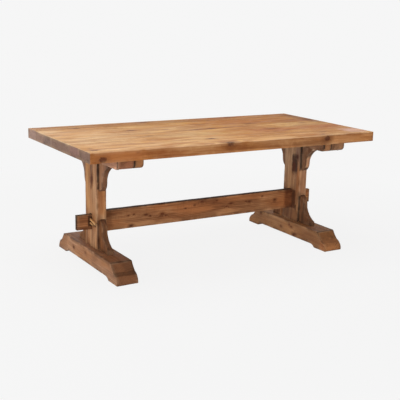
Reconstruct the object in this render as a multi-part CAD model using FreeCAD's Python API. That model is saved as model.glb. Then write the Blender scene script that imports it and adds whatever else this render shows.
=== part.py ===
import FreeCAD, Part
import os

# A trestle dining table in old reclaimed wood, in millimetres, +Z up. It comes apart: each trestle
# is one glued unit, and the long stretcher goes through both posts and is drawn tight against them
# by slanting wedges. X runs along the top, Y across it. The origin is on the floor, under the middle
# of the top. The right trestle is worked out, and the left one is its mirror image.

# Table as a whole
table_height = 770.0
cut_overrun = 2.0
glue_gap = 0.05

# Top: planks joined edge to edge with loose tongues
top_length = 1945.0
top_width = 955.0
top_thickness = 60.0
trestle_from_top_end = 238.5
plank_width_shares = (0.152, 0.139, 0.131, 0.156, 0.134, 0.147, 0.141)
top_edge_round = 4.0
tongue_width = 26.0
tongue_thickness = 10.0
tongue_stop = 70.0

# Bearer across the top of each post, and the batten glued beside it on the inner side. Both have
# the same ends, well rounded underneath.
bearer_length = 836.0
bearer_width = 104.0
bearer_height = 59.0
bearer_outset = 3.0
bearer_edge_round = 5.0
batten_width = 56.0
batten_edge_round = 6.0
bearer_end_round = 30.0

# Foot: a sled with ogee ends, relieved underneath so that it stands on a pad at each end
foot_length = 868.0
foot_width = 136.0
foot_height = 114.0
foot_end_run = 90.0
foot_edge_round = 3.0
pad_length = 114.0
relief_height = 18.0
relief_cove_run = 38.0
ogee_break_shares = (0.07, 0.97)
ogee_hollow_shares = (0.27, 0.75)
ogee_waist_shares = (0.51, 0.555)
ogee_swell_shares = (0.835, 0.40)
cove_middle_shares = (0.44, 0.73)

# Post: one wide board, tenoned into the foot and into the bearer
post_width = 176.0
post_thickness = 59.0
post_edge_round = 3.0
post_tenon_width = 120.0
post_tenon_thickness = 30.0
foot_tenon_length = 66.0
bearer_tenon_length = 30.0

# Fox wedges: driven into saw cuts in the end of each blind tenon, where they lock it
fox_wedge_thickness = 5.0
fox_wedge_tip = 1.0
fox_wedge_spacing = 64.0
fox_wedge_length_share = 0.7

# Bracket: the same shaped board in each of the four corners of a trestle
bracket_height = 184.0
bracket_reach = 125.0
bracket_thickness = 35.0
bracket_toe = 26.0
bracket_waist = 44.0
bracket_waist_height = 105.0
flare_middle_shares = (0.27, 0.51)
nose_start_shares = (0.95, 0.33)
nose_middle_shares = (0.75, 0.70)
nose_tip_share = 0.16

# Loose tenons that hold a bracket to the post and to the foot or the bearer
loose_tenon_thickness = 8.0
loose_tenon_depth = 18.0
post_loose_tenon_length = 60.0
post_loose_tenon_height = 52.0
toe_loose_tenon_length = 48.0
toe_loose_tenon_out = 30.0

# Stretcher: a board on edge with a shouldered tenon through each post
stretcher_height = 130.0
stretcher_thickness = 36.0
stretcher_above_floor = 199.0
stretcher_behind_centre = 6.0
stretcher_edge_round = 2.5
tenon_height = 92.0
tenon_thickness = 26.0
tenon_above_stretcher_bottom = 23.0
tenon_reach = 95.0
tenon_gap = 0.2

# Wedges: two in each tenon, one above the other, driven in on a slant from opposite sides
wedge_head_height = 13.0
wedge_tip_height = 10.0
wedge_head_thickness = 15.0
wedge_tip_thickness = 10.0
wedge_head_reach = 78.0
wedge_tip_reach = 34.0
wedge_spacing = 11.0
wedge_slant = 10.0
wedge_end_bevel = 2.0
wedge_gap = 0.2
wedge_above_tenon_bottom = 33.0
slot_set_back = 6.0

# Round-headed screws, up through each bearer into the planks that are numbered here
screwed_planks = (1, 3, 5, 7)
screw_diameter = 6.0
screw_head_diameter = 12.0
screw_head_height = 3.0
screw_bite = 28.0
screw_outset = 32.0
screw_from_bearer_end = 40.0
screw_gap = 0.1

X_AXIS = FreeCAD.Vector(1, 0, 0)
Y_AXIS = FreeCAD.Vector(0, 1, 0)
Z_AXIS = FreeCAD.Vector(0, 0, 1)
CENTRE = FreeCAD.Vector(0, 0, 0)
PARALLEL_SHARE = 0.001

# Levels and places that follow from the sizes
trestle_from_centre = top_length / 2 - trestle_from_top_end
top_underside = table_height - top_thickness
bearer_underside = top_underside - bearer_height
bearer_x = trestle_from_centre + bearer_outset
batten_x = bearer_x - (bearer_width + batten_width) / 2
bearer_joint_x = bearer_x - bearer_width / 2
post_outer_x = trestle_from_centre + post_thickness / 2
post_inner_x = trestle_from_centre - post_thickness / 2
tenon_bottom = stretcher_above_floor + tenon_above_stretcher_bottom
tenon_middle = tenon_bottom + tenon_height / 2
tenon_front_y = stretcher_behind_centre - tenon_thickness / 2
tenon_back_y = stretcher_behind_centre + tenon_thickness / 2
wedge_bottom = tenon_bottom + wedge_above_tenon_bottom


def place(x, y, z):
    """A point or a shift."""
    return FreeCAD.Vector(x, y, z)


def block(size_x, size_y, size_z, centre_x, centre_y, low_z):
    """A box that stands centred over a place on the floor plan."""
    corner = place(centre_x - size_x / 2, centre_y - size_y / 2, low_z)
    return Part.makeBox(size_x, size_y, size_z, corner)


def roomy(box, gap):
    """The room for a box-shaped piece: the same box, larger by the gap on every side."""
    bounds = box.BoundBox
    return block(
        bounds.XLength + gap * 2, bounds.YLength + gap * 2, bounds.ZLength + gap * 2,
        bounds.Center.x, bounds.Center.y, bounds.ZMin - gap,
    )


def line(start, end):
    return Part.LineSegment(start, end).toShape()


def arc(start, middle, end):
    return Part.Arc(start, middle, end).toShape()


def thick_outline(edges, thickness):
    """A flat outline drawn in the YZ plane, given a thickness along X and centred on it."""
    outline = Part.Face(Part.Wire(edges))
    solid = outline.extrude(X_AXIS * thickness)
    solid.translate(X_AXIS * (-thickness / 2))
    return solid


def runs_along(edge, axis):
    """Whether a straight edge is parallel to an axis."""
    way = edge.Vertexes[-1].Point.sub(edge.Vertexes[0].Point)
    return way.Length > 0 and way.cross(axis).Length < way.Length * PARALLEL_SHARE


def soften(solid, radius, chosen):
    """Rounds the edges that the test picks."""
    return solid.makeFillet(radius, [edge for edge in solid.Edges if chosen(edge)])


def mirrored(shape):
    """The same piece on the left trestle."""
    return shape.mirror(CENTRE, X_AXIS)


def plank_edges():
    """The Y places of the joints between the planks, with both outer edges."""
    edges = [-top_width / 2]
    for share in plank_width_shares:
        edges.append(edges[-1] + top_width * share / sum(plank_width_shares))
    return edges


def screw_places():
    """The Y places of a bearer's screws: in the middle of a plank, but clear of the bearer's ends."""
    edges = plank_edges()
    middles = [(edges[number - 1] + edges[number]) / 2 for number in screwed_planks]
    limit = bearer_length / 2 - screw_from_bearer_end
    return [max(-limit, min(limit, middle)) for middle in middles]


def make_plank_tongues():
    """Loose tongues, one in each joint, stopped short of the ends so that none shows."""
    length = top_length - tongue_stop * 2
    low = top_underside + (top_thickness - tongue_thickness) / 2
    return [block(length, tongue_width, tongue_thickness, 0, y, low) for y in plank_edges()[1:-1]]


def make_plank(low, high, holes):
    """One plank of the top, with its ends and, on an outer plank, its outer edge eased."""
    plank = block(top_length, high - low, top_thickness, 0, (low + high) / 2, top_underside)

    def shows(edge):
        at_side = abs(edge.BoundBox.Center.y) > top_width / 2 - glue_gap
        return runs_along(edge, Y_AXIS) or (runs_along(edge, X_AXIS) and at_side)

    plank = soften(plank, top_edge_round, shows)
    grooves = [roomy(tongue, glue_gap) for tongue in make_plank_tongues()]
    return plank.cut(grooves + holes)


def make_planks(screw_holes):
    """The planks of the top, each grooved for its tongues and drilled for its own screws."""
    edges = plank_edges()
    planks = []
    for low, high in zip(edges, edges[1:]):
        holes = [hole for hole in screw_holes if low < hole.BoundBox.Center.y < high]
        planks.append(make_plank(low, high, holes))
    return planks


def make_screw(y):
    """A screw whose head bears on the underside of the bearer."""
    foot_of_shank = place(bearer_x + screw_outset, y, bearer_underside)
    head = Part.makeCylinder(screw_head_diameter / 2, screw_head_height, foot_of_shank, -Z_AXIS)
    shank = Part.makeCylinder(screw_diameter / 2, bearer_height + screw_bite, foot_of_shank)
    return head.fuse(shank)


def make_screw_hole(y):
    """The hole through the bearer and on into the plank for the same screw."""
    start = place(bearer_x + screw_outset, y, bearer_underside - cut_overrun)
    length = cut_overrun + bearer_height + screw_bite + screw_gap
    return Part.makeCylinder(screw_diameter / 2 + screw_gap, length, start)


def foot_point(side, shares):
    """A point of the foot's shaped end, from shares of its run and of the foot's height."""
    flat_half = foot_length / 2 - foot_end_run
    return place(0, side * (flat_half + foot_end_run * shares[0]), foot_height * shares[1])


def cove_point(side, shares):
    """A point of the cove behind a pad, from shares of its run and of the relief's height."""
    pad_inner = foot_length / 2 - pad_length
    return place(0, side * (pad_inner - relief_cove_run * shares[0]), relief_height * shares[1])


def ogee_end(side):
    """The shaped end of a foot, from its flat top down to the floor: a hollow, then a swell."""
    arris = foot_point(side, ogee_break_shares)
    waist = foot_point(side, ogee_waist_shares)
    return [
        line(foot_point(side, (0, 1)), arris),
        arc(arris, foot_point(side, ogee_hollow_shares), waist),
        arc(waist, foot_point(side, ogee_swell_shares), foot_point(side, (1, 0))),
    ]


def foot_outline():
    """The side view of a foot: ogee ends, two pads, and between them the relief with its coves."""
    edges = [
        line(foot_point(-1, (0, 1)), foot_point(1, (0, 1))),
        line(cove_point(-1, (1, 1)), cove_point(1, (1, 1))),
    ]
    for side in (-1, 1):
        pad_end = cove_point(side, (0, 0))
        edges += ogee_end(side)
        edges.append(line(foot_point(side, (1, 0)), pad_end))
        edges.append(arc(pad_end, cove_point(side, cove_middle_shares), cove_point(side, (1, 1))))
    return Part.__sortEdges__(edges)


def make_foot(cuts):
    """A foot with the mortise for the post and the mortises for the brackets' loose tenons."""
    foot = thick_outline(foot_outline(), foot_width)
    break_z = foot_point(1, ogee_break_shares).z

    def shows(edge):
        box = edge.BoundBox
        return box.XLength < glue_gap and box.ZMin > break_z - glue_gap

    foot = soften(foot, foot_edge_round, shows)
    foot.translate(X_AXIS * trestle_from_centre)
    return foot.cut([roomy(post_core(), glue_gap)] + cuts)


def post_core():
    """The middle of the post's thickness, which runs on into both tenons."""
    low = foot_height - foot_tenon_length
    high = bearer_underside + bearer_tenon_length
    return block(post_tenon_thickness, post_tenon_width, high - low, trestle_from_centre, 0, low)


def make_post(cuts):
    """A post between foot and bearer, tenoned at both ends, with the stretcher's mortise."""
    height = bearer_underside - foot_height
    post = block(post_thickness, post_width, height, trestle_from_centre, 0, foot_height)
    post = soften(post, post_edge_round, lambda edge: runs_along(edge, Z_AXIS))
    post = post.fuse(post_core()).removeSplitter()
    mortise = block(
        post_thickness + cut_overrun * 2, tenon_thickness + tenon_gap * 2,
        tenon_height + tenon_gap * 2, trestle_from_centre, stretcher_behind_centre,
        tenon_bottom - tenon_gap,
    )
    return post.cut([mortise] + make_fox_wedges(glue_gap) + cuts)


def make_fox_wedge(y, tenon_end, depth, gap):
    """A wedge driven into a saw cut in the end of a tenon, or the cut itself, wider by the gap.

    A negative depth points down, as in the tenon at the top of the post.
    """
    half_base = fox_wedge_thickness / 2 + gap
    half_tip = fox_wedge_tip / 2 + gap
    tip = tenon_end + depth + (gap if depth > 0 else -gap)
    inner = trestle_from_centre - post_tenon_thickness / 2
    corners = [
        place(inner, y - half_base, tenon_end),
        place(inner, y + half_base, tenon_end),
        place(inner, y + half_tip, tip),
        place(inner, y - half_tip, tip),
    ]
    return Part.Face(Part.makePolygon(corners + corners[:1])).extrude(X_AXIS * post_tenon_thickness)


def make_fox_wedges(gap):
    """The two wedges in each end of the post, or their saw cuts."""
    wedges = []
    for y in (-fox_wedge_spacing / 2, fox_wedge_spacing / 2):
        low = foot_height - foot_tenon_length
        high = bearer_underside + bearer_tenon_length
        wedges.append(make_fox_wedge(y, low, foot_tenon_length * fox_wedge_length_share, gap))
        wedges.append(make_fox_wedge(y, high, -bearer_tenon_length * fox_wedge_length_share, gap))
    return wedges


def cross_beam(width, middle_x, side, radius):
    """A beam across the trestle, rounded along its lower edge on one side and under both ends."""
    beam = block(width, bearer_length, bearer_height, middle_x, 0, bearer_underside)
    rounded_ends = soften(
        beam, bearer_end_round,
        lambda edge: runs_along(edge, X_AXIS) and edge.BoundBox.Center.z < bearer_underside + glue_gap,
    )

    def shows(edge):
        middle = edge.BoundBox.Center
        low = middle.z < bearer_underside + glue_gap
        return runs_along(edge, Y_AXIS) and low and (middle.x - middle_x) * side > 0

    return soften(beam, radius, shows).common(rounded_ends)


def make_bearer(cuts):
    """The bearer under the top, mortised over the post, with its outer lower edge rounded."""
    bearer = cross_beam(bearer_width, bearer_x, 1, bearer_edge_round)
    return bearer.cut([roomy(post_core(), glue_gap), roomy(make_batten_tongue(), glue_gap)] + cuts)


def make_batten():
    """The batten beside the bearer, with its inner lower edge rounded."""
    batten = cross_beam(batten_width, batten_x, -1, batten_edge_round)
    return batten.cut(roomy(make_batten_tongue(), glue_gap))


def make_batten_tongue():
    """The loose tongue in the joint between the bearer and the batten."""
    length = bearer_length - tongue_stop * 2
    low = bearer_underside + (bearer_height - tongue_thickness) / 2
    return block(tongue_width, length, tongue_thickness, bearer_joint_x, 0, low)


def bracket_point(out, up):
    """A point of the bracket's side view, out from the post and up from the foot."""
    return place(0, post_width / 2 + out, foot_height + up)


def bracket_outline():
    """The side view of a bracket that stands on a foot against the post's back face."""
    flare_run = bracket_reach - bracket_waist
    flare_rise = bracket_waist_height - bracket_toe
    nose_rise = bracket_height - bracket_waist_height
    heel = bracket_point(0, 0)
    toe_low = bracket_point(bracket_reach, 0)
    toe_high = bracket_point(bracket_reach, bracket_toe)
    flare_middle = bracket_point(
        bracket_waist + flare_run * flare_middle_shares[0],
        bracket_toe + flare_rise * flare_middle_shares[1],
    )
    waist = bracket_point(bracket_waist, bracket_waist_height)
    nose_start = bracket_point(
        bracket_waist * nose_start_shares[0], bracket_waist_height + nose_rise * nose_start_shares[1]
    )
    nose_middle = bracket_point(
        bracket_waist * nose_middle_shares[0], bracket_waist_height + nose_rise * nose_middle_shares[1]
    )
    nose_tip = bracket_point(bracket_waist * nose_tip_share, bracket_height)
    nose_back = bracket_point(0, bracket_height)
    return [
        line(heel, toe_low),
        line(toe_low, toe_high),
        arc(toe_high, flare_middle, waist),
        line(waist, nose_start),
        arc(nose_start, nose_middle, nose_tip),
        line(nose_tip, nose_back),
        line(nose_back, heel),
    ]


def make_bracket():
    """The lower back bracket. The other three of a trestle are turned or mirrored from it."""
    bracket = thick_outline(bracket_outline(), bracket_thickness)
    bracket.translate(X_AXIS * trestle_from_centre)
    return bracket.cut([roomy(tenon, glue_gap) for tenon in make_loose_tenons()])


def make_loose_tenons():
    """The two loose tenons of the lower back bracket: one into the post, one into the foot."""
    into_post = block(
        loose_tenon_thickness, loose_tenon_depth * 2, post_loose_tenon_length,
        trestle_from_centre, post_width / 2, foot_height + post_loose_tenon_height,
    )
    into_foot = block(
        loose_tenon_thickness, toe_loose_tenon_length, loose_tenon_depth * 2,
        trestle_from_centre, post_width / 2 + toe_loose_tenon_out + toe_loose_tenon_length / 2,
        foot_height - loose_tenon_depth,
    )
    return [into_post, into_foot]


def upside_down(shape):
    """What stands on the foot, turned over so that it hangs from the bearer."""
    return shape.mirror(place(0, 0, (foot_height + bearer_underside) / 2), Z_AXIS)


def to_front(shape):
    """What is behind the post, mirrored to the front of it."""
    return shape.mirror(CENTRE, Y_AXIS)


def four_corners(shape):
    """A bracket or its loose tenon in the four corners of a trestle."""
    return {
        "lower_back": shape,
        "lower_front": to_front(shape),
        "upper_back": upside_down(shape),
        "upper_front": upside_down(to_front(shape)),
    }


def wedge_run(upper):
    """Where a wedge has its head and its tip along Y, and which way its head looks.

    The upper wedge has its head at the front, and the lower one at the back.
    """
    if upper:
        return tenon_front_y - wedge_head_reach, tenon_back_y + wedge_tip_reach, -1
    return tenon_back_y + wedge_head_reach, tenon_front_y - wedge_tip_reach, 1


def make_wedge_slab(upper, gap, low_x, high_x):
    """The side of a wedge drawn out along X: straight towards the other wedge, sloped away from it."""
    head_y, tip_y, way = wedge_run(upper)
    up = 1 if upper else -1
    straight = wedge_bottom + wedge_head_height + (wedge_spacing if upper else 0)
    slope = (wedge_head_height - wedge_tip_height) / abs(head_y - tip_y)
    level = straight - up * gap
    head_z = straight + up * (wedge_head_height + gap * (1 + slope))
    tip_z = straight + up * (wedge_tip_height + gap * (1 - slope))
    corners = [
        place(low_x, head_y + way * gap, level),
        place(low_x, head_y + way * gap, head_z),
        place(low_x, tip_y - way * gap, tip_z),
        place(low_x, tip_y - way * gap, level),
    ]
    side = Part.Face(Part.makePolygon(corners + corners[:1]))
    return side.extrude(X_AXIS * (high_x - low_x))


def make_wedge(upper, gap):
    """A wedge against the post's outer face, tapered both ways, or with a gap the room for it.

    It is made level here, and put on its slant later.
    """
    head_y, tip_y, way = wedge_run(upper)
    taper = (wedge_head_thickness - wedge_tip_thickness) / abs(head_y - tip_y)
    bearing = post_outer_x + wedge_gap
    inner = bearing - gap
    head_outer = bearing + wedge_head_thickness + gap * (1 + taper)
    tip_outer = bearing + wedge_tip_thickness + gap * (1 - taper)
    low = wedge_bottom - cut_overrun
    corners = [
        place(inner, head_y + way * gap, low),
        place(head_outer, head_y + way * gap, low),
        place(tip_outer, tip_y - way * gap, low),
        place(inner, tip_y - way * gap, low),
    ]
    plan = Part.Face(Part.makePolygon(corners + corners[:1]))
    stock = plan.extrude(Z_AXIS * (wedge_head_height * 2 + wedge_spacing + cut_overrun * 2))
    return stock.common(make_wedge_slab(upper, gap, inner - cut_overrun, head_outer + cut_overrun))


def bevel_ends(wedge):
    """A wedge with the edges of its head and its tip broken, against splitting."""
    low_y = wedge.BoundBox.YMin + glue_gap
    high_y = wedge.BoundBox.YMax - glue_gap
    ends = [e for e in wedge.Edges if e.BoundBox.YMax < low_y or e.BoundBox.YMin > high_y]
    return wedge.makeChamfer(wedge_end_bevel, ends)


def slanted(piece):
    """What was made level, turned about the middle of the tenon so that its front end is low."""
    turned = piece.copy()
    turned.rotate(place(post_outer_x, stretcher_behind_centre, tenon_middle), X_AXIS, wedge_slant)
    return turned


def make_slots():
    """The two slots in the right tenon, which reach back into the post."""
    slots = []
    for upper in (True, False):
        slots.append(make_wedge(upper, wedge_gap))
        inner = post_outer_x - slot_set_back
        slots.append(make_wedge_slab(upper, wedge_gap, inner, post_outer_x + wedge_gap))
    return [slanted(slot) for slot in slots]


def make_stretcher():
    """The stretcher with its shoulders against the posts and a slotted tenon through each."""
    body = block(
        post_inner_x * 2, stretcher_thickness, stretcher_height, 0, stretcher_behind_centre,
        stretcher_above_floor,
    )
    body = soften(body, stretcher_edge_round, lambda edge: runs_along(edge, X_AXIS))
    tenons = block(
        (post_outer_x + tenon_reach) * 2, tenon_thickness, tenon_height, 0, stretcher_behind_centre,
        tenon_bottom,
    )
    slots = make_slots()
    slots += [mirrored(slot) for slot in slots]
    return body.fuse(tenons).cut(slots).removeSplitter()


def trestle_nodes(screw_holes):
    """All the nodes of the right trestle, by name."""
    corner_tenons = [four_corners(tenon) for tenon in make_loose_tenons()]
    loose_tenons = [tenon for corners in corner_tenons for tenon in corners.values()]
    mortises = [roomy(tenon, glue_gap) for tenon in loose_tenons]
    nodes = {
        "foot": [make_foot(mortises)],
        "post": [make_post(mortises)],
        "bearer": [make_bearer(mortises + screw_holes)],
        "batten": [make_batten()],
        "batten_tongue": [make_batten_tongue()],
        "fox_wedges": make_fox_wedges(0),
        "loose_tenons": loose_tenons,
        "screws": [make_screw(y) for y in screw_places()],
        "upper_wedge": [slanted(bevel_ends(make_wedge(True, 0)))],
        "lower_wedge": [slanted(bevel_ends(make_wedge(False, 0)))],
    }
    for corner, bracket in four_corners(make_bracket()).items():
        nodes[corner + "_bracket"] = [bracket]
    return nodes


def write(name, solids):
    """Writes one node, which may be a group of like solids."""
    shape = solids[0] if len(solids) == 1 else Part.makeCompound(solids)
    shape.exportStep("parts/" + name + ".step")
    print(name, len(solids))


os.makedirs("parts", exist_ok=True)
right_holes = [make_screw_hole(y) for y in screw_places()]
for node, pieces in trestle_nodes(right_holes).items():
    write(node + "_right", pieces)
    write(node + "_left", [mirrored(piece) for piece in pieces])
all_holes = right_holes + [mirrored(hole) for hole in right_holes]
for number, plank in enumerate(make_planks(all_holes), start=1):
    write("plank_" + str(number), [plank])
write("plank_tongues", make_plank_tongues())
write("stretcher", [make_stretcher()])
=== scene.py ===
# %% [markdown]
# # A trestle table in old wood
# The table is a knock-down trestle table: seven thick planks on two trestles, and one long
# stretcher that slanting wedges draw tight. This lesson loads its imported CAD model, sets a camera,
# a soft studio and a pale floor round it, rebuilds each visible piece with the marks of hand work
# and long use, and gives each one a wood of its own. All lengths are in metres.

import math

import bmesh
import bpy
from mathutils import Matrix, Vector, noise


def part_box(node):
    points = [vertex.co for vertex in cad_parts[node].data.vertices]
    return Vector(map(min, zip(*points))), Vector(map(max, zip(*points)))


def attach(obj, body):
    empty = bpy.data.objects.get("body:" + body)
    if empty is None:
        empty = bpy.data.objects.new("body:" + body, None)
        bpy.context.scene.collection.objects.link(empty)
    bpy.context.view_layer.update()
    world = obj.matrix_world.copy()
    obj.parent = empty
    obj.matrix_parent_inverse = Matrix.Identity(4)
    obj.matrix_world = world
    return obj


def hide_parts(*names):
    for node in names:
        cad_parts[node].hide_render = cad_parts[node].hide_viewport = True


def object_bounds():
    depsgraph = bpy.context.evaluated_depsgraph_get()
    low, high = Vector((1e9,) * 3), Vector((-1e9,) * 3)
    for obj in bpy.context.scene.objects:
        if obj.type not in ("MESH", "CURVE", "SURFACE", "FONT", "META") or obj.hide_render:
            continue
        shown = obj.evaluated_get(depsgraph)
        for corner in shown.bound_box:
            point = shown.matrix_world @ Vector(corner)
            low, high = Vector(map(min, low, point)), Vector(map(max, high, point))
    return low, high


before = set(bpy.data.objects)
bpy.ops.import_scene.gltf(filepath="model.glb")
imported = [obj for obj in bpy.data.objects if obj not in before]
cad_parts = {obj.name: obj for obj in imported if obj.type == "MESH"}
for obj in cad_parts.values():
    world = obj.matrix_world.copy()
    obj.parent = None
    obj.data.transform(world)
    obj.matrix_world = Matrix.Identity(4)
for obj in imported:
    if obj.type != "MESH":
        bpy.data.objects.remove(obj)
bpy.ops.object.select_all(action="DESELECT")
cad_low, cad_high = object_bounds()
print("CAD box", [round(value, 3) for value in cad_low], [round(value, 3) for value in cad_high])

# %% [markdown]
# ## The camera
# The camera stands to the left of the middle, a little above the height of the top, with a long
# lens. Place, turn and lens were solved together from the corners of the top and of the feet.
# The camera is first level and looks along Y; then it is rolled, tipped down and turned, in that
# order.

# %% Set the camera
camera_place = Vector((-2.6342, -4.3585, 1.5287))
camera_turn = math.radians(30.993)
camera_tip = math.radians(13.358)
camera_roll = math.radians(1.301)
sensor_width = 36.0
lens_length = 73.904

camera_data = bpy.data.cameras.new("camera")
camera_data.sensor_fit = "HORIZONTAL"
camera_data.sensor_width = sensor_width
camera_data.lens = lens_length
camera = bpy.data.objects.new("camera", camera_data)
bpy.context.collection.objects.link(camera)
level_and_tipped = Matrix.Rotation(math.pi / 2 - camera_tip, 4, "X")
turned = Matrix.Rotation(-camera_turn, 4, "Z")
rolled = Matrix.Rotation(camera_roll, 4, "Z")
camera.matrix_world = Matrix.Translation(camera_place) @ turned @ level_and_tipped @ rolled
bpy.context.scene.camera = camera
print("camera at", [round(value, 2) for value in camera_place], "lens", lens_length)

# %% [markdown]
# ## Ways to wire nodes
# Light, paper and wood are all trees of shader nodes. A small class holds a tree in the making.
# Each of its calls adds a node, feeds its inputs and hands on what comes out, so that a finish is
# read from the inside out, like a sum.

# %% Tools to wire nodes
class Wiring:
    """A tree of shader nodes in the making."""

    def __init__(self, tree):
        self.tree = tree

    def feed(self, socket, value):
        """Links another node's output to an input, or writes a plain value there."""
        if isinstance(value, bpy.types.NodeSocket):
            self.tree.links.new(value, socket)
        else:
            socket.default_value = value

    def add(self, kind, *values, out=0, **named):
        """Adds a node. Plain values feed its inputs in order. Capital names are inputs, small ones
        are settings."""
        node = self.tree.nodes.new("ShaderNode" + kind)
        for name, setting in named.items():
            if name[0].islower():
                setattr(node, name, setting)
        for socket, value in zip(node.inputs, values):
            self.feed(socket, value)
        for name, value in named.items():
            if name[0].isupper():
                self.feed(node.inputs[name.replace("_", " ")], value)
        return node.outputs[out] if node.outputs else None

    def calc(self, operation, *values):
        """One step of arithmetic on values."""
        return self.add("Math", *values, operation=operation)

    def calc_place(self, operation, *values):
        """One step of arithmetic on places. A length or a dot product comes out as a value."""
        out = "Value" if operation in ("LENGTH", "DOT_PRODUCT") else "Vector"
        return self.add("VectorMath", *values, operation=operation, out=out)

    def times(self, first, second):
        """One value times another."""
        return self.calc("MULTIPLY", first, second)

    def spread(self, value, low, high, new_low=0.0, new_high=1.0):
        """Eases a value from one range into another, and holds it at the ends."""
        return self.add("MapRange", value, low, high, new_low, new_high,
                        interpolation_type="SMOOTHSTEP")


print("the wiring is ready")

# %% [markdown]
# ## The studio
# A product studio has a big soft light overhead and to the left, a white room all round, and a
# sweep of pale paper for a floor. The room is the world's colour. Rays from the camera, mirrored
# rays among them, see it at the exact pale grey of the paper, and all others see it as a soft fill
# light.

# %% Light the studio
bpy.context.scene.view_settings.view_transform = "Standard"
paper_grey = (0.9205, 0.9205, 0.9205, 1.0)
fill_colour, fill_strength = (1.0, 0.985, 0.96, 1.0), 0.42


def seen_directly(wires):
    """A value that is 1 for what the camera sees, also mirrored or through glass, and else 0."""
    rays = wires.add("LightPath").node.outputs
    seen = wires.calc("MAXIMUM", rays["Is Camera Ray"], rays["Is Glossy Ray"])
    return wires.calc("MAXIMUM", seen, rays["Is Transmission Ray"])


world = bpy.data.worlds.new("studio")
bpy.context.scene.world = world
world.use_nodes = True
room = Wiring(world.node_tree)
room.tree.nodes.clear()
fill_light = room.add("Background", fill_colour, fill_strength)
backdrop = room.add("Background", paper_grey)
room.add("OutputWorld", room.add("MixShader", seen_directly(room), fill_light, backdrop))


def add_soft_light(name, place, size, power):
    """A square soft box that points at the middle of the table."""
    bpy.ops.object.light_add(type="AREA", location=place)
    light = bpy.context.object
    light.name = name
    light.data.size = size
    light.data.energy = power
    aim = (cad_low + cad_high) / 2 - Vector(place)
    light.rotation_euler = aim.to_track_quat("-Z", "Y").to_euler()


add_soft_light("overhead_softbox", place=(-0.6, 0.3, 3.6), size=2.6, power=66)
add_soft_light("left_softbox", place=(-4.2, -1.9, 0.9), size=2.2, power=72)
add_soft_light("front_softbox", place=(-0.2, -6.0, 0.9), size=3.2, power=95)
add_soft_light("back_softbox", place=(-0.3, 5.2, 1.9), size=2.0, power=45)

# %% [markdown]
# ## The floor
# The paper is a wide plane at the feet. It is matte and nearly white, so that it throws light up
# under the table, as paper does. The camera sees it mostly at the backdrop's grey, and round the
# feet a little of it as lit paper, so that a faint shadow stays there and fades out further off.

# %% Lay the floor
floor_size = 60.0
paper_white = (0.86, 0.86, 0.86, 1.0)
shadow_share = 0.06
shadow_near, shadow_far = 1.3, 3.0
bpy.ops.mesh.primitive_plane_add(size=floor_size, location=(0, 0, 0))
floor = bpy.context.object
floor.name = "paper_floor"
paper = bpy.data.materials.new("paper")
paper.use_nodes = True
sheet = Wiring(paper.node_tree)
sheet.tree.nodes.clear()
from_middle = sheet.calc_place("LENGTH", sheet.add("TexCoord", out="Object"))
fade_out = sheet.spread(from_middle, shadow_near, shadow_far, 1 - shadow_share, 1)
evenness = sheet.times(seen_directly(sheet), fade_out)
lit_paper = sheet.add("BsdfDiffuse", paper_white)
even_paper = sheet.add("Emission", paper_grey)
sheet.add("OutputMaterial", sheet.add("MixShader", evenness, lit_paper, even_paper))
floor.data.materials.append(paper)
bpy.ops.object.select_all(action="DESELECT")
print("floor", floor.name)

# %% [markdown]
# ## A few hand tools
# Every piece starts as a block of stock and is worked with the same few tools: saw it across, take
# hold of some of its points or faces, and move them. The tools below pick points, edges and faces
# by their place, as the eye would, and leave the shaping to Blender's own edit-mode operators. The
# axes have names, so that a cut says plainly which way it goes.

# %% Tools to start, saw and pick
X, Y, Z = 0, 1, 2
touching, facing = 0.0002, 0.9
usual_step, least_step_share = 0.022, 0.4


def meets(value, mark):
    """Whether two lengths are the same, as near as a saw cut can be set."""
    return abs(value - mark) < touching


def start_block(name, low, high):
    """A block of stock that fills the box between two corners, with its place in its mesh."""
    bpy.ops.object.select_all(action="DESELECT")
    bpy.ops.mesh.primitive_cube_add(size=1, location=(low + high) / 2, scale=high - low)
    block = bpy.context.object
    block.name = name
    block.data.name = name
    bpy.ops.object.transform_apply(location=True, rotation=True, scale=True)
    return block


def saw_across(places, axis):
    """Cuts the piece in hand straight through at each place along an axis."""
    normal = Vector((0, 0, 0))
    normal[axis] = 1
    bpy.ops.object.mode_set(mode="EDIT")
    for place in places:
        bpy.ops.mesh.select_all(action="SELECT")
        bpy.ops.mesh.bisect(plane_co=normal * place, plane_no=normal)
    bpy.ops.object.mode_set(mode="OBJECT")


def saw_evenly(low, high, axis, step=usual_step, clear_of=()):
    """Cuts the piece in hand about every step, but not beside a cut that is already there."""
    least_step = step * least_step_share
    count = max(2, round((high - low) / step))
    places = [low + (high - low) * number / count for number in range(1, count)]
    free = [spot for spot in places if all(abs(spot - cut) > least_step for cut in clear_of)]
    saw_across(free, axis)


def pick(piece, kind, wanted):
    """Selects the points, edges or faces that pass a test, and leaves the piece in edit mode."""
    bpy.ops.object.mode_set(mode="EDIT")
    bpy.ops.mesh.select_mode(type={"verts": "VERT", "edges": "EDGE", "faces": "FACE"}[kind])
    bpy.ops.mesh.select_all(action="DESELECT")
    mesh = bmesh.from_edit_mesh(piece.data)
    for item in getattr(mesh, kind):
        item.select_set(wanted(item))
    mesh.select_flush_mode()
    bmesh.update_edit_mesh(piece.data)


def work_on(piece, kind, wanted, action, **settings):
    """Works on what passes a test, with one of Blender's operators for edit mode."""
    pick(piece, kind, wanted)
    action(**settings)
    bpy.ops.object.mode_set(mode="OBJECT")


def slide(piece, wanted, shift):
    """Moves the points that pass a test by the same shift."""
    work_on(piece, "verts", wanted, bpy.ops.transform.translate, value=shift)


def middle_of(item):
    """The middle of an edge or a face."""
    return sum((corner.co for corner in item.verts), Vector()) / len(item.verts)


print("the tools are ready")

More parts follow.
